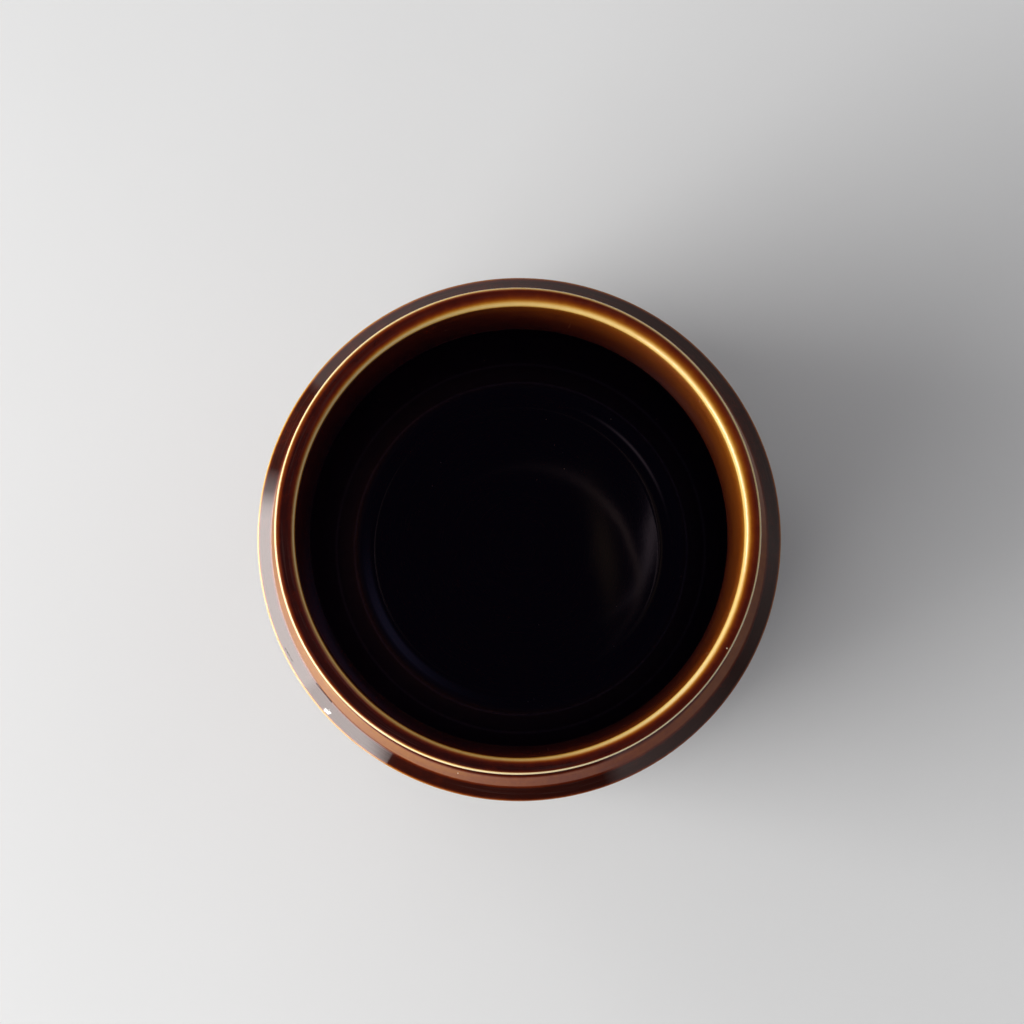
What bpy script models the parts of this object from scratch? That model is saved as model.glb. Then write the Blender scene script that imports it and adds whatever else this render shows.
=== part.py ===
"""Glazed stoneware canister with a straight neck, open at the top.

The jar is one piece of fired clay. It stands on z = 0, and its axis is the
world Z axis. All lengths are in metres.
"""
import math

import bmesh
import bpy

# Outer form
height = 0.118
body_radius = 0.0533
neck_radius = 0.0452
neck_height = 0.0362

# Shoulder: a cove and a ledge at the foot of the neck, then a steeper slope beyond a crease
cove_radius = 0.0055
ledge_slope = math.radians(22)
slope_width = 0.0031
shoulder_slope = math.radians(34)

# Walls and floor
neck_wall = 0.0034
body_wall = 0.0048
floor_wall = 0.005
inner_shoulder_radius = 0.004
floor_corner_radius = 0.0155

# Rim
lip_radius = 0.0012
rim_edge_radius = 0.0009

# Edges of the shoulder
crease_radius = 0.0012
shoulder_edge_radius = 0.0004

# Foot ring
foot_radius = 0.0432
foot_width = 0.005
foot_height = 0.002
foot_edge_radius = 0.0006
base_corner_radius = 0.009

# Facets
turning_steps = 64
arc_step = math.radians(20)
floor_rings = 5

# Glaze as seen on the outside
glaze_colour = (0.085, 0.026, 0.011, 1.0)
glaze_roughness = 0.12


def clear_scene():
    """Empty the scene, so that the jar is all that it holds."""
    for thing in list(bpy.data.objects):
        bpy.data.objects.remove(thing, do_unlink=True)


def arc(centre, radius, start, end):
    """Points on a circle in the (r, z) plane, from angle start to angle end."""
    count = max(2, math.ceil(abs(end - start) / arc_step))
    points = []
    for index in range(count + 1):
        angle = start + (end - start) * index / count
        points.append((centre[0] + radius * math.cos(angle), centre[1] + radius * math.sin(angle)))
    return points


def rounded(before, corner, after, radius, room=0.5):
    """The arc that is tangent to both legs of a corner and keeps to the given share of each leg."""
    back = (before[0] - corner[0], before[1] - corner[1])
    ahead = (after[0] - corner[0], after[1] - corner[1])
    back_length = math.hypot(*back)
    ahead_length = math.hypot(*ahead)
    back = (back[0] / back_length, back[1] / back_length)
    ahead = (ahead[0] / ahead_length, ahead[1] / ahead_length)
    half_angle = math.acos(back[0] * ahead[0] + back[1] * ahead[1]) / 2
    reach = min(radius / math.tan(half_angle), back_length * room, ahead_length * room)
    radius = reach * math.tan(half_angle)
    middle = (back[0] + ahead[0], back[1] + ahead[1])
    scale = radius / math.sin(half_angle) / math.hypot(*middle)
    centre = (corner[0] + middle[0] * scale, corner[1] + middle[1] * scale)
    first = (corner[0] + back[0] * reach, corner[1] + back[1] * reach)
    last = (corner[0] + ahead[0] * reach, corner[1] + ahead[1] * reach)
    start = math.atan2(first[1] - centre[1], first[0] - centre[0])
    end = math.atan2(last[1] - centre[1], last[0] - centre[0])
    turn = (end - start + math.pi) % (2 * math.pi) - math.pi
    return arc(centre, radius, start, start + turn)


def level(radius, z):
    """Evenly spaced points on a level line from the axis out to a radius."""
    return [(radius * ring / floor_rings, z) for ring in range(floor_rings + 1)]


def jar_profile():
    """The jar's half section: floor, inner wall, rim, outer wall, foot and recess, axis to axis."""
    mouth_radius = neck_radius - neck_wall
    inner_radius = body_radius - body_wall
    cove_top = height - neck_height
    cove_centre = (neck_radius + cove_radius, cove_top)
    inside_floor = foot_height + floor_wall

    # The level floor ends where the corner between floor and wall begins
    floor_radius = inner_radius - floor_corner_radius
    profile = level(floor_radius, inside_floor)
    corner_centre = (floor_radius, inside_floor + floor_corner_radius)
    profile += arc(corner_centre, floor_corner_radius, -math.pi / 2, 0)[1:]

    # Two tangent arcs draw the inner wall in under the shoulder, level with the cove outside
    inner_cove_radius = cove_radius + neck_wall
    inner_sweep = math.acos(1 - (inner_radius - mouth_radius) / (inner_cove_radius + inner_shoulder_radius))
    shoulder_centre = (
        inner_radius - inner_shoulder_radius,
        cove_top - (inner_cove_radius + inner_shoulder_radius) * math.sin(inner_sweep),
    )
    profile += arc(shoulder_centre, inner_shoulder_radius, 0, inner_sweep)
    profile += arc(cove_centre, inner_cove_radius, math.pi + inner_sweep, math.pi)[1:]

    # The flat rim, between a round inner lip and a rounded outer edge
    lip = (mouth_radius, height)
    rim_edge = (neck_radius, height)
    profile += rounded((mouth_radius, cove_top), lip, rim_edge, lip_radius)
    profile += rounded(lip, rim_edge, (neck_radius, cove_top), rim_edge_radius)

    # The cove runs out into the ledge, and the slope falls from the crease to the shoulder's edge
    cove = arc(cove_centre, cove_radius, math.pi, 1.5 * math.pi - ledge_slope)
    ledge_start = cove[-1]
    crease_place = body_radius - slope_width
    crease = (crease_place, ledge_start[1] - (crease_place - ledge_start[0]) * math.tan(ledge_slope))
    shoulder_edge = (body_radius, crease[1] - slope_width * math.tan(shoulder_slope))
    profile += cove
    profile += rounded(ledge_start, crease, shoulder_edge, crease_radius)
    profile += rounded(crease, shoulder_edge, (body_radius, foot_height), shoulder_edge_radius)

    # The base and the foot ring that the jar stands on
    base_corner = (body_radius, foot_height)
    foot_top = (foot_radius, foot_height)
    foot_outer = (foot_radius, 0.0)
    foot_inner = (foot_radius - foot_width, 0.0)
    recess_edge = (foot_radius - foot_width, foot_height)
    profile += rounded(shoulder_edge, base_corner, foot_top, base_corner_radius, room=0.9)
    profile.append(foot_top)
    profile += rounded(foot_top, foot_outer, foot_inner, foot_edge_radius)
    profile += rounded(foot_outer, foot_inner, recess_edge, foot_edge_radius)
    profile += reversed(level(recess_edge[0], foot_height))
    return profile


def make_glaze():
    """A dark treacle glaze, seen as one plain colour."""
    material = bpy.data.materials.new("treacle_glaze")
    material.use_nodes = True
    shader = material.node_tree.nodes["Principled BSDF"]
    shader.inputs["Base Color"].default_value = glaze_colour
    shader.inputs["Roughness"].default_value = glaze_roughness
    shader.inputs["Metallic"].default_value = 0.0
    return material


def make_jar():
    """Turn the half section about the Z axis into one closed body."""
    mesh = bpy.data.meshes.new("jar_body")
    turning = bmesh.new()
    points = [turning.verts.new((r, 0.0, z)) for r, z in jar_profile()]
    edges = [turning.edges.new(pair) for pair in zip(points, points[1:])]
    bmesh.ops.spin(
        turning,
        geom=points + edges,
        cent=(0.0, 0.0, 0.0),
        axis=(0.0, 0.0, 1.0),
        angle=2 * math.pi,
        steps=turning_steps,
        use_merge=True,
    )
    bmesh.ops.remove_doubles(turning, verts=turning.verts, dist=1e-6)
    bmesh.ops.recalc_face_normals(turning, faces=turning.faces)
    turning.to_mesh(mesh)
    turning.free()
    mesh.shade_smooth()
    mesh.set_sharp_from_angle(angle=math.radians(30))
    mesh.materials.append(make_glaze())
    jar = bpy.data.objects.new("jar_body", mesh)
    bpy.context.scene.collection.objects.link(jar)
    return jar


clear_scene()
make_jar()
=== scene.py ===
import math

import bmesh
import bpy
import numpy as np
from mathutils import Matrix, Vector


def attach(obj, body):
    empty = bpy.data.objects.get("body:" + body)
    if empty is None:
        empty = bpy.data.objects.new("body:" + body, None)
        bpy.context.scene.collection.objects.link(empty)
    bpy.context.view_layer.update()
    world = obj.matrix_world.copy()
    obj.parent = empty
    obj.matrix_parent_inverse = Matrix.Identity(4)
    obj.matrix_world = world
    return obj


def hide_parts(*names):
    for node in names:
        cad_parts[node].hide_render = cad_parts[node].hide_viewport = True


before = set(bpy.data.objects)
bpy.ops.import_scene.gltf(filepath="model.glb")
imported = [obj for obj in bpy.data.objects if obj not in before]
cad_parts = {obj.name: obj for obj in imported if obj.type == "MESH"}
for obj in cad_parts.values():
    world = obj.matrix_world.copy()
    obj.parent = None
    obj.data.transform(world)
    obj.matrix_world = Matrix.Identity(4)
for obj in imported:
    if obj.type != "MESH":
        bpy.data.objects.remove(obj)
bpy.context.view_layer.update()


# The jar
# One body of pale stoneware, cast and turned, with a straight neck over a sloping shoulder.
# It is dipped in a treacle glaze, which runs thin and honey-coloured over each edge, is red-brown
# on the wall and nearly black on the floor inside, and is wiped from the foot ring before firing.

height = 0.118
body_radius = 0.0533
neck_radius = 0.0452
neck_height = 0.0362
cove_radius = 0.0055
ledge_slope = math.radians(22)
slope_width = 0.0031
shoulder_slope = math.radians(34)
neck_wall = 0.0034
body_wall = 0.0048
floor_wall = 0.005
floor_corner_radius = 0.0155
inner_shoulder_radius = 0.004
lip_radius = 0.0012
rim_edge_radius = 0.0009
crease_radius = 0.0012
shoulder_edge_radius = 0.0004
foot_radius = 0.0432
foot_width = 0.005
foot_height = 0.002
foot_edge_radius = 0.0006
base_corner_radius = 0.009

meridians = 288


def arc(centre, radius, start, end, count):
    """Points on a circle of the (r, z) plane, evenly spaced from angle start to angle end."""
    angle = np.linspace(start, end, count)
    return np.column_stack((centre[0] + radius * np.cos(angle), centre[1] + radius * np.sin(angle)))


def leg(start, end, count):
    """Points on a straight line, ends left out, at shares (1 - cos(pi u)) / 2, which crowd at both ends."""
    share = (1 - np.cos(np.pi * np.linspace(0, 1, count + 2)[1:-1, None])) / 2
    return np.array(start) * (1 - share) + np.array(end) * share


def rounded(before, corner, after, radius, count):
    """The arc tangent to both legs of a corner: its centre is on the bisector, radius / sin(half angle) off."""
    before, corner, after = np.array(before), np.array(corner), np.array(after)
    back = (before - corner) / np.linalg.norm(before - corner)
    ahead = (after - corner) / np.linalg.norm(after - corner)
    half_angle = math.acos(float(back @ ahead)) / 2
    reach = radius / math.tan(half_angle)
    middle = (back + ahead) / np.linalg.norm(back + ahead)
    centre = corner + middle * radius / math.sin(half_angle)
    first = corner + back * reach - centre
    last = corner + ahead * reach - centre
    start = math.atan2(first[1], first[0])
    turn = (math.atan2(last[1], last[0]) - start + math.pi) % (2 * math.pi) - math.pi
    return arc(centre, radius, start, start + turn, count)


def level(radius, z, count):
    """Evenly spaced points on a level line from the axis out to a radius."""
    return np.column_stack((np.linspace(0, radius, count), np.full(count, z)))


mouth_radius = neck_radius - neck_wall
inner_radius = body_radius - body_wall
cove_top = height - neck_height
glaze_line = foot_height * 0.75
cove_centre = (neck_radius + cove_radius, cove_top)
inside_floor = foot_height + floor_wall
floor_radius = inner_radius - floor_corner_radius

floor_face = level(floor_radius, inside_floor, 24)
floor_corner = arc((floor_radius, inside_floor + floor_corner_radius), floor_corner_radius, -math.pi / 2, 0, 26)
inner_cove_radius = cove_radius + neck_wall
inner_sweep = math.acos(1 - (inner_radius - mouth_radius) / (inner_cove_radius + inner_shoulder_radius))
inner_shoulder_centre = (
    inner_radius - inner_shoulder_radius,
    cove_top - (inner_cove_radius + inner_shoulder_radius) * math.sin(inner_sweep),
)
inner_shoulder = arc(inner_shoulder_centre, inner_shoulder_radius, 0, inner_sweep, 10)
inner_cove = arc(cove_centre, inner_cove_radius, math.pi + inner_sweep, math.pi, 12)[1:]
lip = rounded((mouth_radius, cove_top), (mouth_radius, height), (neck_radius, height), lip_radius, 17)
rim_edge = rounded((mouth_radius, height), (neck_radius, height), (neck_radius, cove_top), rim_edge_radius, 15)
cove = arc(cove_centre, cove_radius, math.pi, math.pi * 3 / 2 - ledge_slope, 18)
crease_place = body_radius - slope_width
crease_corner = np.array((crease_place, cove[-1][1] - (crease_place - cove[-1][0]) * math.tan(ledge_slope)))
shoulder_drop = slope_width * math.tan(shoulder_slope)
shoulder_corner = np.array((body_radius, crease_corner[1] - shoulder_drop))
crease = rounded(cove[-1], crease_corner, shoulder_corner, crease_radius, 7)
shoulder_edge = rounded(crease_corner, shoulder_corner, (body_radius, 0), shoulder_edge_radius, 11)
base_corner = rounded(
    shoulder_corner, (body_radius, foot_height), (foot_radius, foot_height), base_corner_radius, 16
)
foot_inner_radius = foot_radius - foot_width
foot_outer_edge = rounded(
    (foot_radius, foot_height), (foot_radius, 0), (foot_inner_radius, 0), foot_edge_radius, 5
)
foot_inner_edge = rounded(
    (foot_radius, 0), (foot_inner_radius, 0), (foot_inner_radius, foot_height), foot_edge_radius, 5
)
recess = level(foot_inner_radius, foot_height, 20)[::-1]

profile = np.vstack((
    floor_face,
    floor_corner[1:],
    leg(floor_corner[-1], inner_shoulder[0], 10),
    inner_shoulder,
    inner_cove,
    leg(inner_cove[-1], lip[0], 20),
    lip,
    leg(lip[-1], rim_edge[0], 8),
    rim_edge,
    leg(rim_edge[-1], cove[0], 18),
    cove,
    leg(cove[-1], crease[0], 7),
    crease,
    leg(crease[-1], shoulder_edge[0], 18),
    shoulder_edge,
    leg(shoulder_edge[-1], base_corner[0], 22),
    base_corner,
    foot_outer_edge,
    foot_inner_edge,
    recess,
))
steps = np.linalg.norm(np.diff(profile, axis=0), axis=1)
profile = profile[np.concatenate(([True], steps > 1e-6))]
run = np.concatenate(([0.0], np.cumsum(np.linalg.norm(np.diff(profile, axis=0), axis=1))))


def place_on_run(point):
    """How far along the profile, from the floor's centre, the point nearest to this one lies."""
    return run[np.argmin(np.linalg.norm(profile - np.array(point), axis=1))]


# How thick the glaze lies from the floor up the inside, over the rim and down the outside, and
# how much thinner it is made on the side towards +X and on the side towards +Y. This thinning is painted light: it
# makes the glaze paler on the sides that face the window's light.
glaze_stages = (
    (0.0, 1.10, 0.0, 0.0),
    (place_on_run(floor_corner[13]), 1.0, 0.0, 0.0),
    (place_on_run(inner_cove[0]), 0.80, 0.10, 0.0),
    (place_on_run(inner_cove[-1]), 0.72, 0.21, 0.05),
    (place_on_run(lip[0]), 0.50, 0.14, 0.08),
    (place_on_run(lip[-1]), 0.98, 0.04, 0.04),
    (place_on_run(rim_edge[0]), 0.92, 0.08, 0.06),
    (place_on_run(rim_edge[-1]), 0.90, 0.0, 0.0),
    (place_on_run(cove[0]), 0.75, 0.0, 0.0),
    (place_on_run(cove[15]), 0.92, 0.0, 0.0),
    (place_on_run(cove[-1]), 0.33, -0.07, -0.04),
    (place_on_run(crease[0]), 0.36, -0.07, -0.04),
    (place_on_run(crease[-1]) + 0.0005, 0.96, -0.01, 0.04),
    (place_on_run(shoulder_edge[0]) - 0.0009, 1.02, -0.02, 0.04),
    (place_on_run(shoulder_edge[0]), 0.70, -0.10, 0.04),
    (place_on_run(shoulder_edge[-1]), 0.50, -0.05, 0.0),
    (place_on_run(shoulder_edge[-1]) + 0.006, 0.70, 0.0, 0.0),
    (place_on_run(base_corner[0]), 0.80, 0.0, 0.0),
    (place_on_run(base_corner[-1]), 0.95, 0.0, 0.0),
    (place_on_run(recess[0]), 0.80, 0.0, 0.0),
    (run[-1], 0.90, 0.0, 0.0),
)
turn = np.linspace(0, 2 * math.pi, meridians, endpoint=False)
stage_run, stage_depth, painted_light_x, painted_light_y = zip(*glaze_stages)
# The depth, less a side-to-side thinning that paints the glaze paler where the light falls: painted light
glaze_depth = (
    np.interp(run, stage_run, stage_depth)[:, None]
    - np.interp(run, stage_run, painted_light_x)[:, None] * np.cos(turn)
    - np.interp(run, stage_run, painted_light_y)[:, None] * np.sin(turn)
)

# Some of it pooled on two parts of the ledge: the depth, the middle of the pool in degrees and its spread
ledge_pools = ((0.16, -72, 6.0), (0.12, 78, 5.0))
on_ledge = (run > place_on_run(cove[16])) & (run < place_on_run(crease[-1]))
for pool_depth, pool_middle, pool_spread in ledge_pools:
    pool_share = np.exp(pool_spread * (np.cos(turn - math.radians(pool_middle)) - 1))
    glaze_depth += pool_depth * on_ledge[:, None] * pool_share

# Over each edge it runs thin, down to a least depth: a share exp(-(way / half width) ** falloff) of the way to it
# The thin edges are real, but how their least depth and half width change round the turn is partly painted light:
# the lines come out paler on the sides where the window lights them or shines in them.
thin_edges_and_painted_light = (
    # the edge, then at each eighth of a turn from +X the least depth and half the width of the
    # thin line in millimetres, and the falloff
    (
        lip[7],
        (0.065, 0.05, 0.065, 0.02, 0.0, 0.06, 0.08, 0.035),
        (1.76, 2.05, 1.70, 0.90, 0.64, 0.76, 0.82, 1.30),
        2.0,
    ),
    (
        rim_edge[8],
        (0.02, 0.02, 0.06, 0.0, 0.0, 0.0, 0.0, 0.0),
        (0.60, 0.54, 0.45, 0.50, 0.50, 0.53, 0.68, 0.62),
        2.8,
    ),
    (
        shoulder_edge[4],
        (0.24, 0.27, 0.30, 0.14, 0.03, 0.08, 0.34, 0.38),
        (0.30, 0.32, 0.34, 0.42, 0.46, 0.46, 0.34, 0.30),
        3.0,
    ),
)


def around_turn(values):
    """A value for each meridian, straight between values at even steps of a turn."""
    places = np.linspace(0, 2 * math.pi, len(values) + 1)
    return np.interp(turn, places, values + values[:1])


for edge, least, half_width, falloff in thin_edges_and_painted_light:
    way = np.abs(run - place_on_run(edge))[:, None] / (around_turn(half_width) / 1000)
    glaze_depth += (around_turn(least) - glaze_depth) * np.exp(-(way**falloff))
deepest_glaze = 1.2
glaze_depth = np.clip(glaze_depth, 0.0, deepest_glaze)

# The bare clay of the foot ring, from the glaze line round to the recess
bare_from = place_on_run((foot_radius, glaze_line))
bare_to = place_on_run((foot_inner_radius, glaze_line))

# The lip was trimmed a little off the centre of turning and a little out of round
lip_offset = (0.0004, -0.0002)
lip_oval = 0.0001
lip_spread = 0.004
lip_share = np.exp(-(((run - place_on_run(lip[8])) / lip_spread) ** 2)) * (run < place_on_run(rim_edge[4]))
shift_x = lip_share[:, None] * (lip_offset[0] - lip_oval * np.cos(turn))
shift_y = lip_share[:, None] * (lip_offset[1] + lip_oval * np.sin(turn))


def turned(profile, turn, shift_x, shift_y):
    """A surface of turning with a point at each pole: x = r cos(a) + shift, y = r sin(a) + shift, z as it is."""
    ring = profile[1:-1]
    x = ring[:, 0, None] * np.cos(turn) + shift_x[1:-1]
    y = ring[:, 0, None] * np.sin(turn) + shift_y[1:-1]
    z = np.repeat(ring[:, 1, None], len(turn), axis=1)
    rings = np.stack((x, y, z), axis=2).reshape(-1, 3)
    points = np.vstack(([0, 0, profile[0, 1]], rings, [0, 0, profile[-1, 1]]))
    around = len(turn)
    here = np.arange(around)
    after = (here + 1) % around
    base = 1 + around * np.arange(len(ring) - 1)[:, None]
    quads = np.stack((base + here, base + after, base + around + after, base + around + here), axis=2).reshape(-1, 4)
    first_pole = np.column_stack((np.zeros(around, int), after + 1, here + 1))
    last_ring = 1 + around * (len(ring) - 1)
    last_pole = np.column_stack((np.full(around, len(points) - 1), last_ring + here, last_ring + after))
    return points, quads, first_pole, last_pole


points, quads, first_pole, last_pole = turned(profile, turn, shift_x, shift_y)
mesh = bpy.data.meshes.new("glazed_jar")
mesh.from_pydata(points.tolist(), [], quads.tolist() + first_pole.tolist() + last_pole.tolist())
shell = bmesh.new()
shell.from_mesh(mesh)
bmesh.ops.recalc_face_normals(shell, faces=shell.faces)
shell.to_mesh(mesh)
shell.free()
mesh.shade_smooth()

# A dull bluish film lies on the wall inside and in the corner round the floor
film_stages = (floor_corner[3], floor_corner[7], inner_cove[0], inner_cove[-1], lip[0])
film = np.interp(run, [place_on_run(stage) for stage in film_stages], (0, 1, 1, 0.02, 0))
film = np.repeat(film[:, None], meridians, axis=1)
for name, values in (("glaze_depth", glaze_depth), ("film", film)):
    layer = mesh.attributes.new(name, "FLOAT", "POINT")
    values = np.concatenate((values[0, :1], values[1:-1].ravel(), values[-1, :1]))
    layer.data.foreach_set("value", values.astype(np.float32))
jar = bpy.data.objects.new("glazed_jar", mesh)
bpy.context.scene.collection.objects.link(jar)


def new_group(name, inputs, output):
    """An empty shader node group with named inputs (name, kind, value) and one value out."""
    group = bpy.data.node_groups.new(name, "ShaderNodeTree")
    for label, kind, value in inputs:
        group.interface.new_socket(name=label, in_out="INPUT", socket_type=kind).default_value = value
    group.interface.new_socket(name=output, in_out="OUTPUT", socket_type="NodeSocketFloat")
    return group, group.nodes.new("NodeGroupInput").outputs, group.nodes.new("NodeGroupOutput").inputs


def fill(tree, sockets, values):
    """Link each socket to its value where that is a link, and set it where it is a number or a colour."""
    for socket, value in zip(sockets, values):
        if isinstance(value, bpy.types.NodeSocket):
            tree.links.new(value, socket)
        else:
            socket.default_value = value


def math_node(tree, operation, *values):
    """A Math node whose values are numbers or links."""
    made = tree.nodes.new("ShaderNodeMath")
    made.operation = operation
    fill(tree, made.inputs, values)
    return made.outputs[0]


def limited(tree, value):
    """A number kept between 0 and 1."""
    return math_node(tree, "MINIMUM", math_node(tree, "MAXIMUM", value, 0.0), 1.0)


def vector_node(tree, operation, *values):
    """A Vector Math node whose values are vectors or links; a product or a length comes out as a number."""
    made = tree.nodes.new("ShaderNodeVectorMath")
    made.operation = operation
    fill(tree, made.inputs, values)
    return made.outputs["Value" if operation in ("DOT_PRODUCT", "LENGTH") else "Vector"]


# Clouding from -1 to 1, at a given number of clouds to the metre, drawn out along an axis by a small stretch
clouding, given, result = new_group(
    "clouding",
    (
        ("Place", "NodeSocketVector", (0.0, 0.0, 0.0)),
        ("Stretch", "NodeSocketVector", (1.0, 1.0, 1.0)),
        ("Shift", "NodeSocketVector", (0.0, 0.0, 0.0)),
        ("Scale", "NodeSocketFloat", 50.0),
        ("Detail", "NodeSocketFloat", 2.0),
    ),
    "Cloud",
)
stretched = vector_node(clouding, "MULTIPLY", given["Place"], given["Stretch"])
moved = vector_node(clouding, "ADD", stretched, given["Shift"])
texture = clouding.nodes.new("ShaderNodeTexNoise")
texture.inputs["Roughness"].default_value = 0.55
clouding.links.new(moved, texture.inputs["Vector"])
clouding.links.new(given["Scale"], texture.inputs["Scale"])
clouding.links.new(given["Detail"], texture.inputs["Detail"])
clouding.links.new(math_node(clouding, "MULTIPLY_ADD", texture.outputs["Fac"], 4.0, -2.0), result["Cloud"])

# A short mark: 1 within a ragged width of the line between two points, 0 beyond
mark, given, result = new_group(
    "mark",
    (
        ("Place", "NodeSocketVector", (0.0, 0.0, 0.0)),
        ("From", "NodeSocketVector", (0.0, 0.0, 0.0)),
        ("To", "NodeSocketVector", (0.0, 0.0, 0.001)),
        ("Half Width", "NodeSocketFloat", 0.0003),
        ("Ragged", "NodeSocketFloat", 0.5),
    ),
    "Mask",
)
along = vector_node(mark, "SUBTRACT", given["To"], given["From"])
away = vector_node(mark, "SUBTRACT", given["Place"], given["From"])
way_along = vector_node(mark, "DOT_PRODUCT", away, along)
share = limited(mark, math_node(mark, "DIVIDE", way_along, vector_node(mark, "DOT_PRODUCT", along, along)))
scaled = mark.nodes.new("ShaderNodeVectorMath")
scaled.operation = "SCALE"
mark.links.new(along, scaled.inputs[0])
mark.links.new(share, scaled.inputs["Scale"])
distance = vector_node(mark, "LENGTH", vector_node(mark, "SUBTRACT", away, scaled.outputs["Vector"]))
ragged = mark.nodes.new("ShaderNodeGroup")
ragged.node_tree = clouding
ragged.inputs["Scale"].default_value = 2600.0
mark.links.new(given["Place"], ragged.inputs["Place"])
wobble = math_node(mark, "MULTIPLY", ragged.outputs["Cloud"], given["Ragged"])
widths_off = math_node(mark, "DIVIDE", distance, given["Half Width"])
inside = math_node(mark, "SUBTRACT", math_node(mark, "ADD", 1.4, wobble), widths_off)
mark.links.new(limited(mark, math_node(mark, "MULTIPLY", inside, 2.5)), result["Mask"])


def new_material(name):
    """An empty node material, with its node tree, its Principled shader and its object coordinates."""
    material = bpy.data.materials.new(name)
    material.use_nodes = True
    tree = material.node_tree
    where = tree.nodes.new("ShaderNodeTexCoord").outputs["Object"]
    return material, tree, tree.nodes["Principled BSDF"], where


def placed(tree, group, where, **values):
    """A node group put into a material at the object's coordinates, with input values given by name."""
    made = tree.nodes.new("ShaderNodeGroup")
    made.node_tree = group
    tree.links.new(where, made.inputs["Place"])
    for name, value in values.items():
        made.inputs[name.replace("_", " ")].default_value = value
    return made.outputs[0]


def mixed(tree, share, first, second):
    """Two colours, numbers or links mixed by a mask."""
    made = tree.nodes.new("ShaderNodeMix")
    made.data_type = "RGBA"
    fill(tree, (made.inputs[0], made.inputs[6], made.inputs[7]), (share, first, second))
    return made.outputs[2]


glaze, tree, shader, where = new_material("treacle_glaze")
depth_node = tree.nodes.new("ShaderNodeAttribute")
depth_node.attribute_name = "glaze_depth"
depth = depth_node.outputs["Fac"]
mottle = placed(tree, clouding, where, Scale=60.0, Detail=3.0)
runs = placed(tree, clouding, where, Scale=110.0, Stretch=(1.0, 1.0, 0.10))
curdle = placed(tree, clouding, where, Scale=520.0)
grain = placed(tree, clouding, where, Scale=1100.0)
from_axis = vector_node(tree, "LENGTH", vector_node(tree, "MULTIPLY", where, (1.0, 1.0, 0.0)))
outward = tree.nodes.new("ShaderNodeCombineXYZ")
tree.links.new(from_axis, outward.inputs["Z"])
down_profile = vector_node(tree, "SUBTRACT", where, outward.outputs[0])
bands = placed(tree, clouding, down_profile, Scale=260.0, Stretch=(0.06, 0.06, 1.0), Detail=3.0)
turning_lines = placed(tree, clouding, down_profile, Scale=2400.0, Stretch=(0.03, 0.03, 1.0))
uneven = 1.0
for cloud, unevenness in (
    (mottle, 0.05), (runs, 0.05), (bands, 0.07), (curdle, 0.07), (grain, 0.04), (turning_lines, 0.05)
):
    uneven = math_node(tree, "MULTIPLY_ADD", cloud, unevenness, uneven)
depth = math_node(tree, "MULTIPLY", depth, uneven)

# What is seen of the pale clay falls off with the glaze's depth, fastest in blue and slowest in red
tone = tree.nodes.new("ShaderNodeValToRGB")
tree.links.new(depth, tone.inputs["Fac"])
clay_colour = (0.85, 0.72, 0.42)
absorbed = (3.6, 7.3, 16.0)
glaze_body = (0.0, 0.0032, 0.0022)
stops = np.array((0.0, 0.05, 0.10, 0.17, 0.26, 0.38, 0.52, 0.7, 1.0))
while len(tone.color_ramp.elements) < len(stops):
    tone.color_ramp.elements.new(0.5)
for stop, element in zip(stops, tone.color_ramp.elements):
    element.position = float(stop)
    seen = [c * math.exp(-k * stop) + d for c, k, d in zip(clay_colour, absorbed, glaze_body)]
    element.color = (*seen, 1.0)

# A chip, a hairline and a few pits in the glaze of the shoulder
chip_and_glint, hairline, pits = (
    placed(tree, mark, where, From=start, To=end, Half_Width=half_width, Ragged=raggedness)
    for start, end, half_width, raggedness in (
        ((-0.0392, -0.0349, 0.0745), (-0.0386, -0.0353, 0.0747), 0.00036, 1.1),
        ((-0.04094, -0.02946, 0.07590), (-0.03785, -0.03323, 0.07598), 0.00008, 0.15),
        ((-0.0475, -0.0222, 0.0745), (-0.0459, -0.0250, 0.0747), 0.00005, 2.4),
    )
)

# Milky streaks along the turning lines, and pinholes that show the clay
milky_streak = (0.62, 0.52, 0.46, 1.0)
pinhole_clay = (0.66, 0.52, 0.34, 1.0)
streaks = math_node(tree, "MAXIMUM", math_node(tree, "MULTIPLY", turning_lines, 0.018), 0.0)
colour = mixed(tree, streaks, tone.outputs["Color"], milky_streak)
cells = tree.nodes.new("ShaderNodeTexVoronoi")
cells.inputs["Scale"].default_value = 230.0
tree.links.new(where, cells.inputs["Vector"])
pinholes = limited(tree, math_node(tree, "MULTIPLY_ADD", cells.outputs["Distance"], -60.0, 2.4))
colour = mixed(tree, pinholes, colour, pinhole_clay)

# The film clouds the glaze, and two thin pale rings are painted on it in the corner round the floor: a painted
# reflection of the room overhead. Each ring has a radius, half a width and a share
thin_film = (0.08, 0.08, 0.19, 1.0)
ring_reflection_colour = (0.30, 0.29, 0.38, 1.0)
reflection_rings = ((0.0384, 0.00022, 0.90), (0.0424, 0.00028, 0.40))
film_node = tree.nodes.new("ShaderNodeAttribute")
film_node.attribute_name = "film"
film = film_node.outputs["Fac"]
colour = mixed(tree, math_node(tree, "MULTIPLY", film, 0.35), colour, thin_film)
for ring_radius, ring_half_width, ring_share in reflection_rings:
    way = math_node(tree, "DIVIDE", math_node(tree, "SUBTRACT", from_axis, ring_radius), ring_half_width)
    fall = math_node(tree, "EXPONENT", math_node(tree, "MULTIPLY", math_node(tree, "MULTIPLY", way, way), -1.0))
    painted_ring = math_node(tree, "MULTIPLY", math_node(tree, "MULTIPLY", fall, film), ring_share)
    colour = mixed(tree, painted_ring, colour, ring_reflection_colour)

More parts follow.
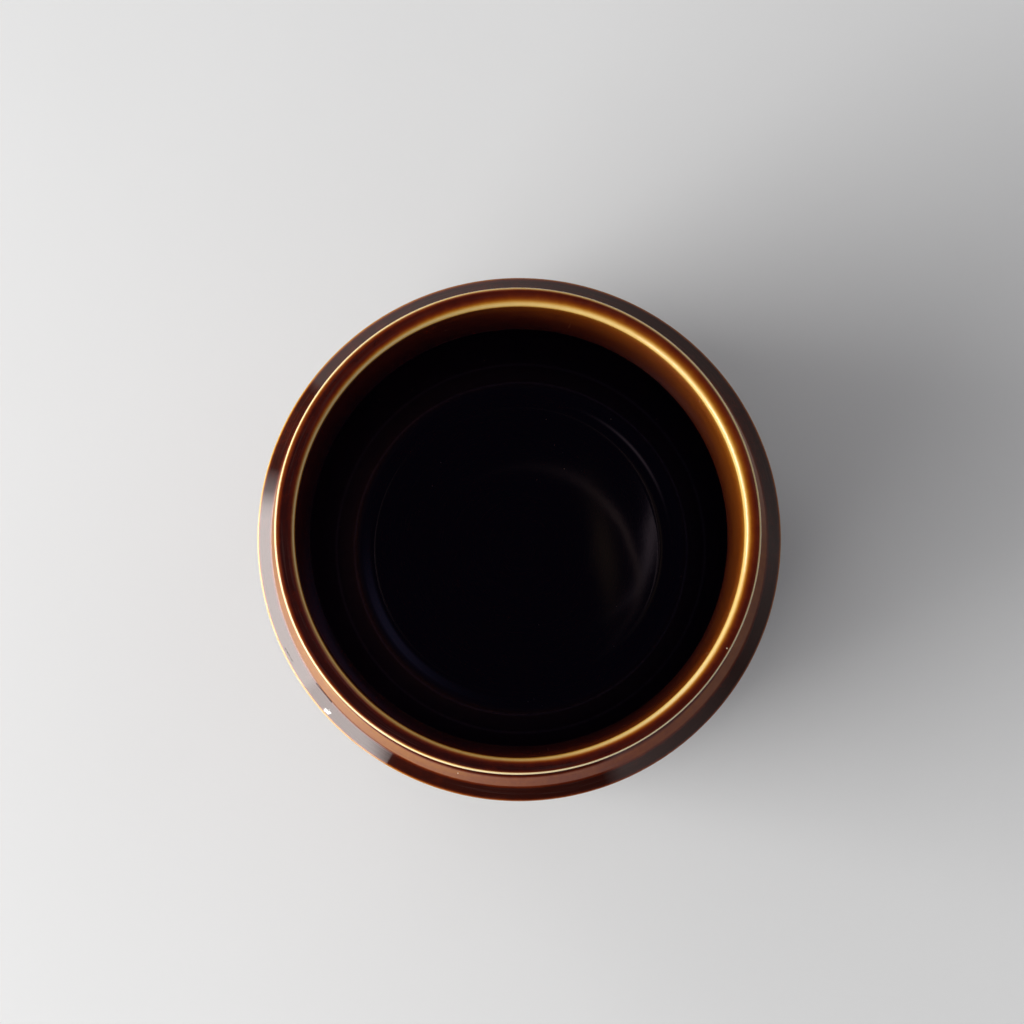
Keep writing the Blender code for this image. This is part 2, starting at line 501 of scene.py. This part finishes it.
# The hairline and the pits are black, and the chip bares the clay; it is painted near-white, paler than the clay, as
# a painted highlight of light glinting on it
crack_black = (0.006, 0.003, 0.002, 1.0)
chipped_clay_and_glint = (0.86, 0.84, 0.80, 1.0)
cracked = math_node(tree, "MAXIMUM", hairline, pits)
colour = mixed(tree, cracked, colour, crack_black)
colour = mixed(tree, chip_and_glint, colour, chipped_clay_and_glint)
tree.links.new(colour, shader.inputs["Base Color"])

# The glaze shines, duller under the film and dull where it is broken
glaze_roughness = 0.03
film_roughness = 0.45
broken_roughness = 0.95
broken = math_node(tree, "MAXIMUM", math_node(tree, "MULTIPLY", chip_and_glint, 0.5), cracked)
rough = math_node(tree, "MULTIPLY_ADD", film, film_roughness, glaze_roughness)
rough = math_node(tree, "MAXIMUM", math_node(tree, "MULTIPLY", broken, broken_roughness), rough)
tree.links.new(rough, shader.inputs["Roughness"])
shader.inputs["IOR"].default_value = 1.52
shader.inputs["Specular Tint"].default_value = (1.0, 0.92, 0.89, 1.0)

# The relief of the skin, in shares of its full height: slow ripples, and a fine orange peel
relief_height = 0.00002
ripple = placed(tree, clouding, where, Scale=45.0, Shift=(0.3, 0.1, 0.2), Detail=1.0)
skin = placed(tree, clouding, where, Scale=420.0)
surface = math_node(tree, "MULTIPLY_ADD", skin, 0.008, math_node(tree, "MULTIPLY", ripple, 0.28))

# The turning lines are smoothed over on the floor: they fade in from 15 to 25 mm above the ground
height_split = tree.nodes.new("ShaderNodeSeparateXYZ")
tree.links.new(where, height_split.inputs[0])
over_floor = limited(tree, math_node(tree, "MULTIPLY_ADD", height_split.outputs["Z"], 100.0, -1.5))
surface = math_node(tree, "MULTIPLY_ADD", math_node(tree, "MULTIPLY", turning_lines, over_floor), 0.03, surface)
surface = math_node(tree, "MULTIPLY_ADD", chip_and_glint, -1.0, surface)
bump = tree.nodes.new("ShaderNodeBump")
bump.inputs["Distance"].default_value = relief_height
tree.links.new(surface, bump.inputs["Height"])
tree.links.new(bump.outputs["Normal"], shader.inputs["Normal"])
mesh.materials.append(glaze)

dark_clay = (0.40, 0.31, 0.21, 1.0)
pale_clay = (0.62, 0.52, 0.38, 1.0)
grain_height = 0.00008
clay, tree, shader, where = new_material("bare_stoneware")
clay_grain = placed(tree, clouding, where, Scale=1400.0, Detail=3.0)
clay_cloud = placed(tree, clouding, where, Scale=60.0)
patch = math_node(tree, "MULTIPLY_ADD", clay_grain, 0.6, clay_cloud)
patch = math_node(tree, "MULTIPLY_ADD", patch, 0.35, 0.5)
clay_tone = mixed(tree, patch, dark_clay, pale_clay)
tree.links.new(clay_tone, shader.inputs["Base Color"])
shader.inputs["Roughness"].default_value = 0.85
bump = tree.nodes.new("ShaderNodeBump")
bump.inputs["Distance"].default_value = grain_height
tree.links.new(clay_grain, bump.inputs["Height"])
tree.links.new(bump.outputs["Normal"], shader.inputs["Normal"])
mesh.materials.append(clay)

middle_run = np.interp(np.arange(len(profile) - 2) + 1.5, np.arange(len(profile)), run)[:-1]
ring_is_bare = (middle_run > bare_from) & (middle_run < bare_to)
slots = np.concatenate((np.repeat(ring_is_bare, meridians), np.zeros(2 * meridians, bool)))
mesh.polygons.foreach_set("material_index", slots.astype(np.int32))
mesh.update()

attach(jar, "root")
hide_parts("jar_body")


# The floor
# A plain painted board, pale and matt, on which the jar stands. It is painted darker towards
# the window, where it would be lit too brightly.


def ramp(tree, value, stages):
    """A brightness read off a ramp of (place, brightness) stages."""
    made = tree.nodes.new("ShaderNodeValToRGB")
    tree.links.new(value, made.inputs["Fac"])
    while len(made.color_ramp.elements) < len(stages):
        made.color_ramp.elements.new(0.5)
    for (place, bright), element in zip(stages, made.color_ramp.elements):
        element.position = place
        element.color = (bright, bright, bright, 1.0)
    return made.outputs["Color"]


floor_reach = 12.0
floor_mesh = bpy.data.meshes.new("floor")
floor_corners = [(x * floor_reach, y * floor_reach, 0) for x, y in ((-1, -1), (1, -1), (1, 1), (-1, 1))]
floor_mesh.from_pydata(floor_corners, [], [(0, 1, 2, 3)])
floor = bpy.data.objects.new("floor", floor_mesh)
bpy.context.scene.collection.objects.link(floor)
darker_paint = (0.765, 0.765, 0.753, 1.0)
paler_paint = (0.785, 0.785, 0.773, 1.0)
paint, tree, shader, where = new_material("pale_paint")
paint_cloud = placed(tree, clouding, where, Scale=9.0, Detail=4.0)
paint_share = math_node(tree, "MULTIPLY_ADD", paint_cloud, 0.5, 0.5)
paint_tone = mixed(tree, paint_share, darker_paint, paler_paint)

# The board darkens towards the window, from 0.16 m off: the way there is in shares of 2 m
window_azimuth = math.radians(180 + 20)
towards_window = (math.cos(window_azimuth) / 2, math.sin(window_azimuth) / 2, 0.0)
way_there = vector_node(tree, "DOT_PRODUCT", where, towards_window)
paint_fall = ramp(tree, way_there, ((0.08, 1.0), (0.20, 0.60), (0.35, 0.30), (0.56, 0.26), (0.60, 1.0)))
paint_tone = vector_node(tree, "MULTIPLY", paint_tone, paint_fall)
tree.links.new(paint_tone, shader.inputs["Base Color"])
shader.inputs["Roughness"].default_value = 0.9
shader.inputs["Specular IOR Level"].default_value = 0.0
floor_mesh.materials.append(paint)


# The light
# One broad soft window on the left, a glow over the walls all round, and a room that is
# nearly dark overhead.

window_distance = 1.15
window_height = 0.48
window_aim = (0, 0, 0.074)
window = bpy.data.lights.new("window", "AREA")
window.shape = "RECTANGLE"
window.size = 1.80
window.size_y = 0.61
window.energy = 31.0
window.use_nodes = True
window_object = bpy.data.objects.new("window", window)
bpy.context.scene.collection.objects.link(window_object)
window_object.location = (
    window_distance * math.cos(window_azimuth),
    window_distance * math.sin(window_azimuth),
    window_height,
)
window_object.rotation_euler = (Vector(window_aim) - window_object.location).to_track_quat("-Z", "Y").to_euler()
window_object.visible_camera = False

# Across the window: a curtain that ends it softly at one end, and a dimmer pane, shaded above, at the other
tree = window.node_tree
across = tree.nodes.new("ShaderNodeSeparateXYZ")
tree.links.new(tree.nodes.new("ShaderNodeNewGeometry").outputs["Parametric"], across.inputs[0])
panes = ramp(tree, across.outputs["X"], (
    (0.0, 0.0), (0.085, 0.30), (0.14, 1.0), (0.18, 1.20), (0.64, 1.20), (0.67, 0.94), (1.0, 0.94),
))
far_end = ramp(tree, across.outputs["X"], ((0.60, 0.0), (0.66, 1.0)))
upper_part = ramp(tree, across.outputs["Y"], ((0.50, 0.0), (0.56, 1.0)))
shaded = math_node(tree, "MULTIPLY", math_node(tree, "MULTIPLY", far_end, upper_part), -0.85)
panes = math_node(tree, "MULTIPLY", panes, math_node(tree, "ADD", shaded, 1.0))
tree.links.new(panes, tree.nodes["Emission"].inputs["Strength"])

world = bpy.data.worlds.new("room")
bpy.context.scene.world = world
world.use_nodes = True
tree = world.node_tree
direction = tree.nodes.new("ShaderNodeTexCoord").outputs["Generated"]
split = tree.nodes.new("ShaderNodeSeparateXYZ")
tree.links.new(direction, split.inputs[0])

# The walls round the room, in one turn from -180 degrees to +180
around_room = math_node(tree, "ARCTAN2", split.outputs["Y"], split.outputs["X"])
around_room = math_node(tree, "MULTIPLY_ADD", around_room, 1 / (2 * math.pi), 0.5)
walls = ramp(tree, around_room, (
    (0.0, 0.30), (0.155, 0.30), (0.165, 0.03), (0.305, 0.02), (0.318, 0.55), (0.417, 0.15), (0.50, 0.42),
    (0.583, 0.26), (0.667, 0.38), (0.75, 0.75), (0.806, 0.95), (0.8925, 1.05), (0.8955, 0.08), (0.948, 0.08),
    (0.96, 0.30),
))
horizon_share = ramp(tree, split.outputs["Z"], ((0.0, 1.0), (0.16, 1.0), (0.20, 0.0)))
foot_of_walls = (0.42, 0.42, 0.36, 1.0)
low_light = mixed(tree, horizon_share, walls, foot_of_walls)

# A lit stretch of wall low beside the window
wall_lit = (3.0, 3.0, 3.0, 1.0)
beside_window = ramp(tree, around_room, ((0.80, 0.0), (0.86, 1.0), (0.97, 1.0), (1.0, 0.0)))
low_height = ramp(tree, split.outputs["Z"], ((0.31, 0.0), (0.34, 1.0), (0.41, 1.0), (0.44, 0.0)))
low_light = mixed(tree, math_node(tree, "MULTIPLY", beside_window, low_height), low_light, wall_lit)

# The glow over the walls, in shares of its full brightness, in one turn from -180 degrees to +180
glow_full = 5.0
glow = math_node(tree, "MULTIPLY", ramp(tree, around_room, (
    (0.0, 0.74), (0.042, 0.95), (0.083, 1.00), (0.125, 0.82), (0.167, 0.46), (0.208, 0.36), (0.25, 0.24),
    (0.333, 0.12), (0.50, 0.10), (0.583, 0.30), (0.625, 0.39), (0.667, 0.10), (0.708, 0.02), (0.75, 0.03),
    (0.792, 0.26), (0.833, 0.42), (0.875, 0.73), (0.917, 0.40), (0.958, 0.82), (1.0, 0.74),
)), glow_full)
glow_share = ramp(tree, split.outputs["Z"], ((0.56, 0.0), (0.60, 1.0)))
wall_light = mixed(tree, glow_share, low_light, glow)

# Overhead the room is nearly dark, with a faint pale patch and four faint pale arcs. Each arc is
# exp(-((way from its circle) / half width) ** 2) * exp(spread * (cos(turn from its middle) - 1)),
# measured on the level part of the direction
ceiling = (0.016, 0.015, 0.044, 1.0)
level_part = vector_node(tree, "MULTIPLY", direction, (1.0, 1.0, 0.0))
flat = vector_node(tree, "NORMALIZE", level_part)


def facing(tree, across, azimuth, spread):
    """exp(spread * (cos(turn from an azimuth in degrees) - 1)) for a level unit vector."""
    towards = (math.cos(math.radians(azimuth)), math.sin(math.radians(azimuth)), 0.0)
    near = vector_node(tree, "DOT_PRODUCT", across, towards)
    return math_node(tree, "EXPONENT", math_node(tree, "MULTIPLY_ADD", near, spread, -spread))


patch_height = ramp(tree, split.outputs["Z"], ((0.90, 0.0), (0.93, 1.0), (0.975, 1.0), (0.99, 0.0)))
patch_share = math_node(tree, "MULTIPLY", patch_height, facing(tree, flat, 38, 12.0))
pale_patch = (0.11, 0.11, 0.25, 1.0)
ceiling = mixed(tree, patch_share, ceiling, pale_patch)
for centre, radius, half_width, azimuth, spread, arc_colour in (
    ((0.0015, 0.0422, 0.0), 0.0496, 0.0016, -4, 9.0, (0.66, 0.54, 0.68, 1.0)),
    ((0.0, 0.0, 0.0), 0.165, 0.035, 211, 25.0, (0.40, 0.32, 0.42, 1.0)),
    ((-0.0031, 0.0185, 0.0), 0.0469, 0.0012, 28, 4.0, (0.42, 0.31, 0.32, 1.0)),
    ((-0.2196, -0.0092, 0.0), 0.2531, 0.0042, 8.8, 250.0, (0.13, 0.10, 0.09, 1.0)),
):
    from_centre = vector_node(tree, "SUBTRACT", level_part, centre)
    way = math_node(tree, "SUBTRACT", vector_node(tree, "LENGTH", from_centre), radius)
    way = math_node(tree, "POWER", math_node(tree, "ABSOLUTE", math_node(tree, "DIVIDE", way, half_width)), 2.0)
    on_circle = math_node(tree, "EXPONENT", math_node(tree, "MULTIPLY", way, -1.0))
    on_arc = facing(tree, vector_node(tree, "NORMALIZE", from_centre), azimuth, spread)
    ceiling = mixed(tree, math_node(tree, "MULTIPLY", on_circle, on_arc), ceiling, arc_colour)
ceiling_share = ramp(tree, split.outputs["Z"], ((0.68, 0.0), (0.72, 1.0)))
room_light = mixed(tree, ceiling_share, wall_light, ceiling)

# Seen straight on, the far wall is one plain pale tone
far_wall = (0.60, 0.60, 0.595, 1.0)
seen_straight = tree.nodes.new("ShaderNodeLightPath").outputs["Is Camera Ray"]
background = tree.nodes["Background"]
tree.links.new(mixed(tree, seen_straight, room_light, far_wall), background.inputs["Color"])
background.inputs["Strength"].default_value = 1.0


# The camera
# Nearly straight above the jar, 440 mm over the rim, leaning slightly back from the near side.

camera_over_rim = 0.440
camera_aside = (0.00285, -0.01710)
camera_lean = (math.radians(2.655), math.radians(0.504), 0.0)
camera = bpy.data.cameras.new("camera")
camera.sensor_width = 36.0
camera.lens = 83.66
camera_object = bpy.data.objects.new("camera", camera)
bpy.context.scene.collection.objects.link(camera_object)
camera_object.location = (*camera_aside, height + camera_over_rim)
camera_object.rotation_euler = camera_lean
bpy.context.scene.camera = camera_object
bpy.context.scene.view_settings.view_transform = "Standard"
